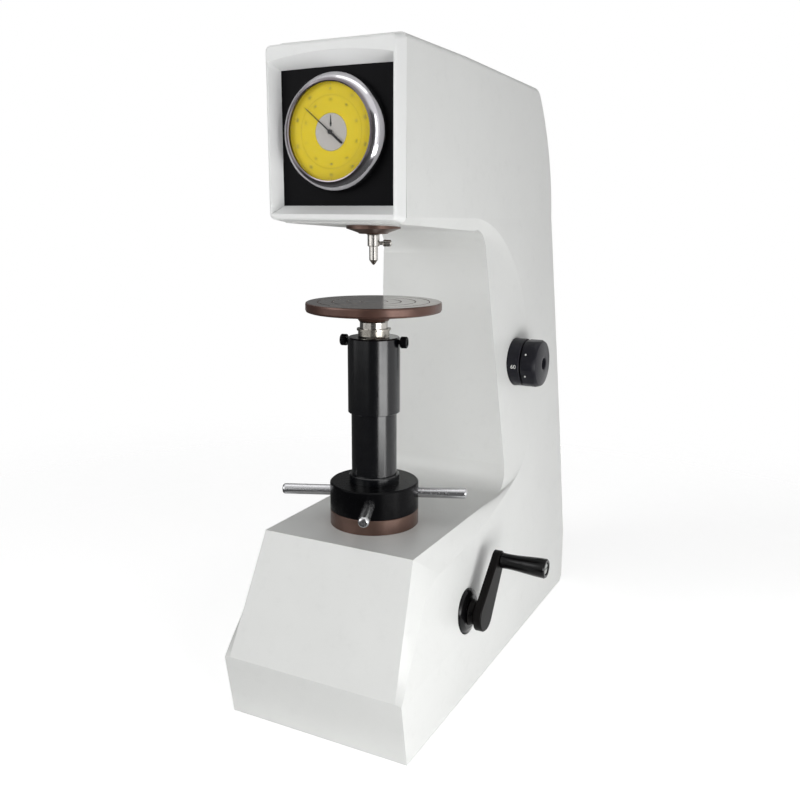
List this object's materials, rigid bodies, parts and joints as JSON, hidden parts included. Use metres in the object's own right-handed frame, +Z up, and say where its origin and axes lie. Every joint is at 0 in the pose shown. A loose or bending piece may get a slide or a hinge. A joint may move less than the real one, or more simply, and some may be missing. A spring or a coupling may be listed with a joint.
{
  "type": "hardness tester",
  "caption": "Bench hardness tester: C-shaped cast body, dial gauge head, spindle with indenter, round flat anvil on a handwheel lifting screw, load crank and load selector knob.",
  "frame": {"origin": "on the bench plane, where the vertical test axis of screw, anvil, indenter and spindle meets it", "axes": "+Z up along the test axis, -Y towards the operator and the dial, +X towards the side with the crank and the load selector"},
  "size_m": [0.297, 0.544, 0.7185],
  "materials": {
    "cast_paint": "satin",
    "bezel_paint": "satin",
    "zinc_steel": "bright zinc",
    "panel_black": "satin",
    "case_black": "satin",
    "dial_grey": "matt",
    "chrome": "polished",
    "dial_yellow": "matt",
    "crystal": "clear",
    "pointer_black": "matt",
    "bronze": "turned",
    "ground_steel": "ground",
    "spring_steel": "drawn",
    "brown_oxide": "browned, turned",
    "black_oxide": "blackened, turned",
    "raw_iron": "machined",
    "weight_paint": "painted",
    "black_plastic": "satin",
    "black_enamel": "gloss",
    "grip_plastic": "gloss"
  },
  "bodies": {
    "frame": {"body_casting": "cast_paint", "rear_cover": "cast_paint", "top_cover": "cast_paint", "cover_screws": "zinc_steel", "front_bezel": "bezel_paint", "gauge_panel": "panel_black", "gauge_case": "case_black", "dial_centre": "dial_grey", "screw_bush": "bronze", "guide_key": "ground_steel", "deck_flange": "brown_oxide", "thrust_bearing": "ground_steel", "spindle_flange": "brown_oxide", "spindle_bush": "bronze", "lever_bracket": "raw_iron", "dashpot_cylinder": "ground_steel", "rod_bush": "bronze", "crank_bush": "bronze", "crank_flange": "black_plastic", "selector_bush": "bronze", "load_scale_ring": "black_plastic"},
    "handwheel": {"handwheel_hub": "black_oxide", "handwheel_rods": "chrome", "lower_sleeve": "black_oxide"},
    "screw": {"lifting_screw": "ground_steel", "upper_sleeve": "black_oxide", "sleeve_thumb_screws": "black_oxide"},
    "anvil": {"flat_anvil": "brown_oxide"},
    "spindle": {"spindle": "ground_steel", "indenter": "ground_steel", "indenter_screw": "ground_steel", "preload_spring": "spring_steel"},
    "dial": {"dial_ring": "chrome", "dial_face": "dial_yellow", "dial_crystal": "crystal"},
    "long_pointer": {"long_pointer": "pointer_black"},
    "small_pointer": {"small_pointer": "pointer_black"},
    "crank": {"crank_arm": "black_enamel", "crank_shaft": "ground_steel", "lifting_cam": "ground_steel", "grip_screw": "chrome"},
    "grip": {"crank_grip": "grip_plastic"},
    "rock_shaft": {"rock_shaft": "raw_iron"},
    "lifting_rod": {"lifting_rod": "ground_steel"},
    "main_lever": {"main_lever": "raw_iron", "lever_pins": "ground_steel"},
    "weights": {"hanger_rod": "ground_steel", "weight_60": "weight_paint", "weight_100": "weight_paint", "weight_150": "weight_paint", "dashpot_piston": "bronze"},
    "selector": {"force_knob": "black_plastic", "selector_shaft": "ground_steel", "selector_cams": "ground_steel"}
  },
  "joints": [
    {"name": "handwheel_turn", "type": "hinge", "parent": "frame", "child": "handwheel", "pos_m": [0, 0, 0.237], "axis": [0, 0, -1], "range_deg": [-2448, 2736]},
    {"name": "screw_lift", "type": "slide", "parent": "frame", "child": "screw", "axis": [0, 0, 1], "range_m": [-0.034, 0.038]},
    {"name": "anvil_turn", "type": "hinge", "parent": "screw", "child": "anvil", "pos_m": [0, 0, 0.42], "axis": [0, 0, 1], "continuous": true},
    {"name": "long_pointer_turn", "type": "hinge", "parent": "frame", "child": "long_pointer", "pos_m": [0, -0.086, 0.6294], "axis": [0, 1, 0], "range_deg": [0, 1440.2]},
    {"name": "spindle_slide", "type": "slide", "parent": "frame", "child": "spindle", "axis": [0, 0, 1], "range_m": [0, 0.0008], "stiffness_N_per_m": 1500, "springref_m": -0.008, "deforming": ["preload_spring"]},
    {"name": "small_pointer_turn", "type": "hinge", "parent": "frame", "child": "small_pointer", "pos_m": [0, -0.085, 0.6374], "axis": [0, 1, 0], "range_deg": [0, 144.02]},
    {"name": "dial_turn", "type": "hinge", "parent": "frame", "child": "dial", "pos_m": [0, -0.08, 0.6294], "axis": [0, 1, 0], "continuous": true},
    {"name": "crank_turn", "type": "hinge", "parent": "frame", "child": "crank", "pos_m": [0.1, 0.026, 0.1035], "axis": [-1, 0, 0], "range_deg": [0, 75]},
    {"name": "grip_turn", "type": "hinge", "parent": "crank", "child": "grip", "pos_m": [0.16, 0.06906, 0.15463], "axis": [1, 0, 0], "continuous": true},
    {"name": "rock_shaft_turn", "type": "hinge", "parent": "frame", "child": "rock_shaft", "pos_m": [0.04, 0.11, 0.08], "axis": [-1, 0, 0], "range_deg": [0, 4.97]},
    {"name": "lifting_rod_slide", "type": "slide", "parent": "frame", "child": "lifting_rod", "axis": [0, 0, -1], "range_m": [0, 0.00825]},
    {"name": "main_lever_tilt", "type": "hinge", "parent": "frame", "child": "main_lever", "pos_m": [0, -0.014, 0.6], "axis": [-1, 0, 0], "range_deg": [0, 2.16]},
    {"name": "weights_slide", "type": "slide", "parent": "frame", "child": "weights", "axis": [0, 0, -1], "range_m": [0, 0.01201]},
    {"name": "selector_turn", "type": "hinge", "parent": "frame", "child": "selector", "pos_m": [0.1, 0.229, 0.363], "axis": [1, 0, 0], "range_deg": [0, 240]}
  ],
  "couplings": [
    {"joint": "screw_lift", "follows": "handwheel_turn", "m_per_rad": 0.00079577},
    {"joint": "long_pointer_turn", "follows": "spindle_slide", "rad_per_m": 31416},
    {"joint": "small_pointer_turn", "follows": "spindle_slide", "rad_per_m": 3141.6},
    {"joint": "rock_shaft_turn", "follows": "crank_turn", "ratio": 0.066248},
    {"joint": "lifting_rod_slide", "follows": "crank_turn", "m_per_rad": 0.0062936},
    {"joint": "main_lever_tilt", "follows": "crank_turn", "ratio": 0.028738},
    {"joint": "weights_slide", "follows": "crank_turn", "m_per_rad": 0.0091673}
  ]
}
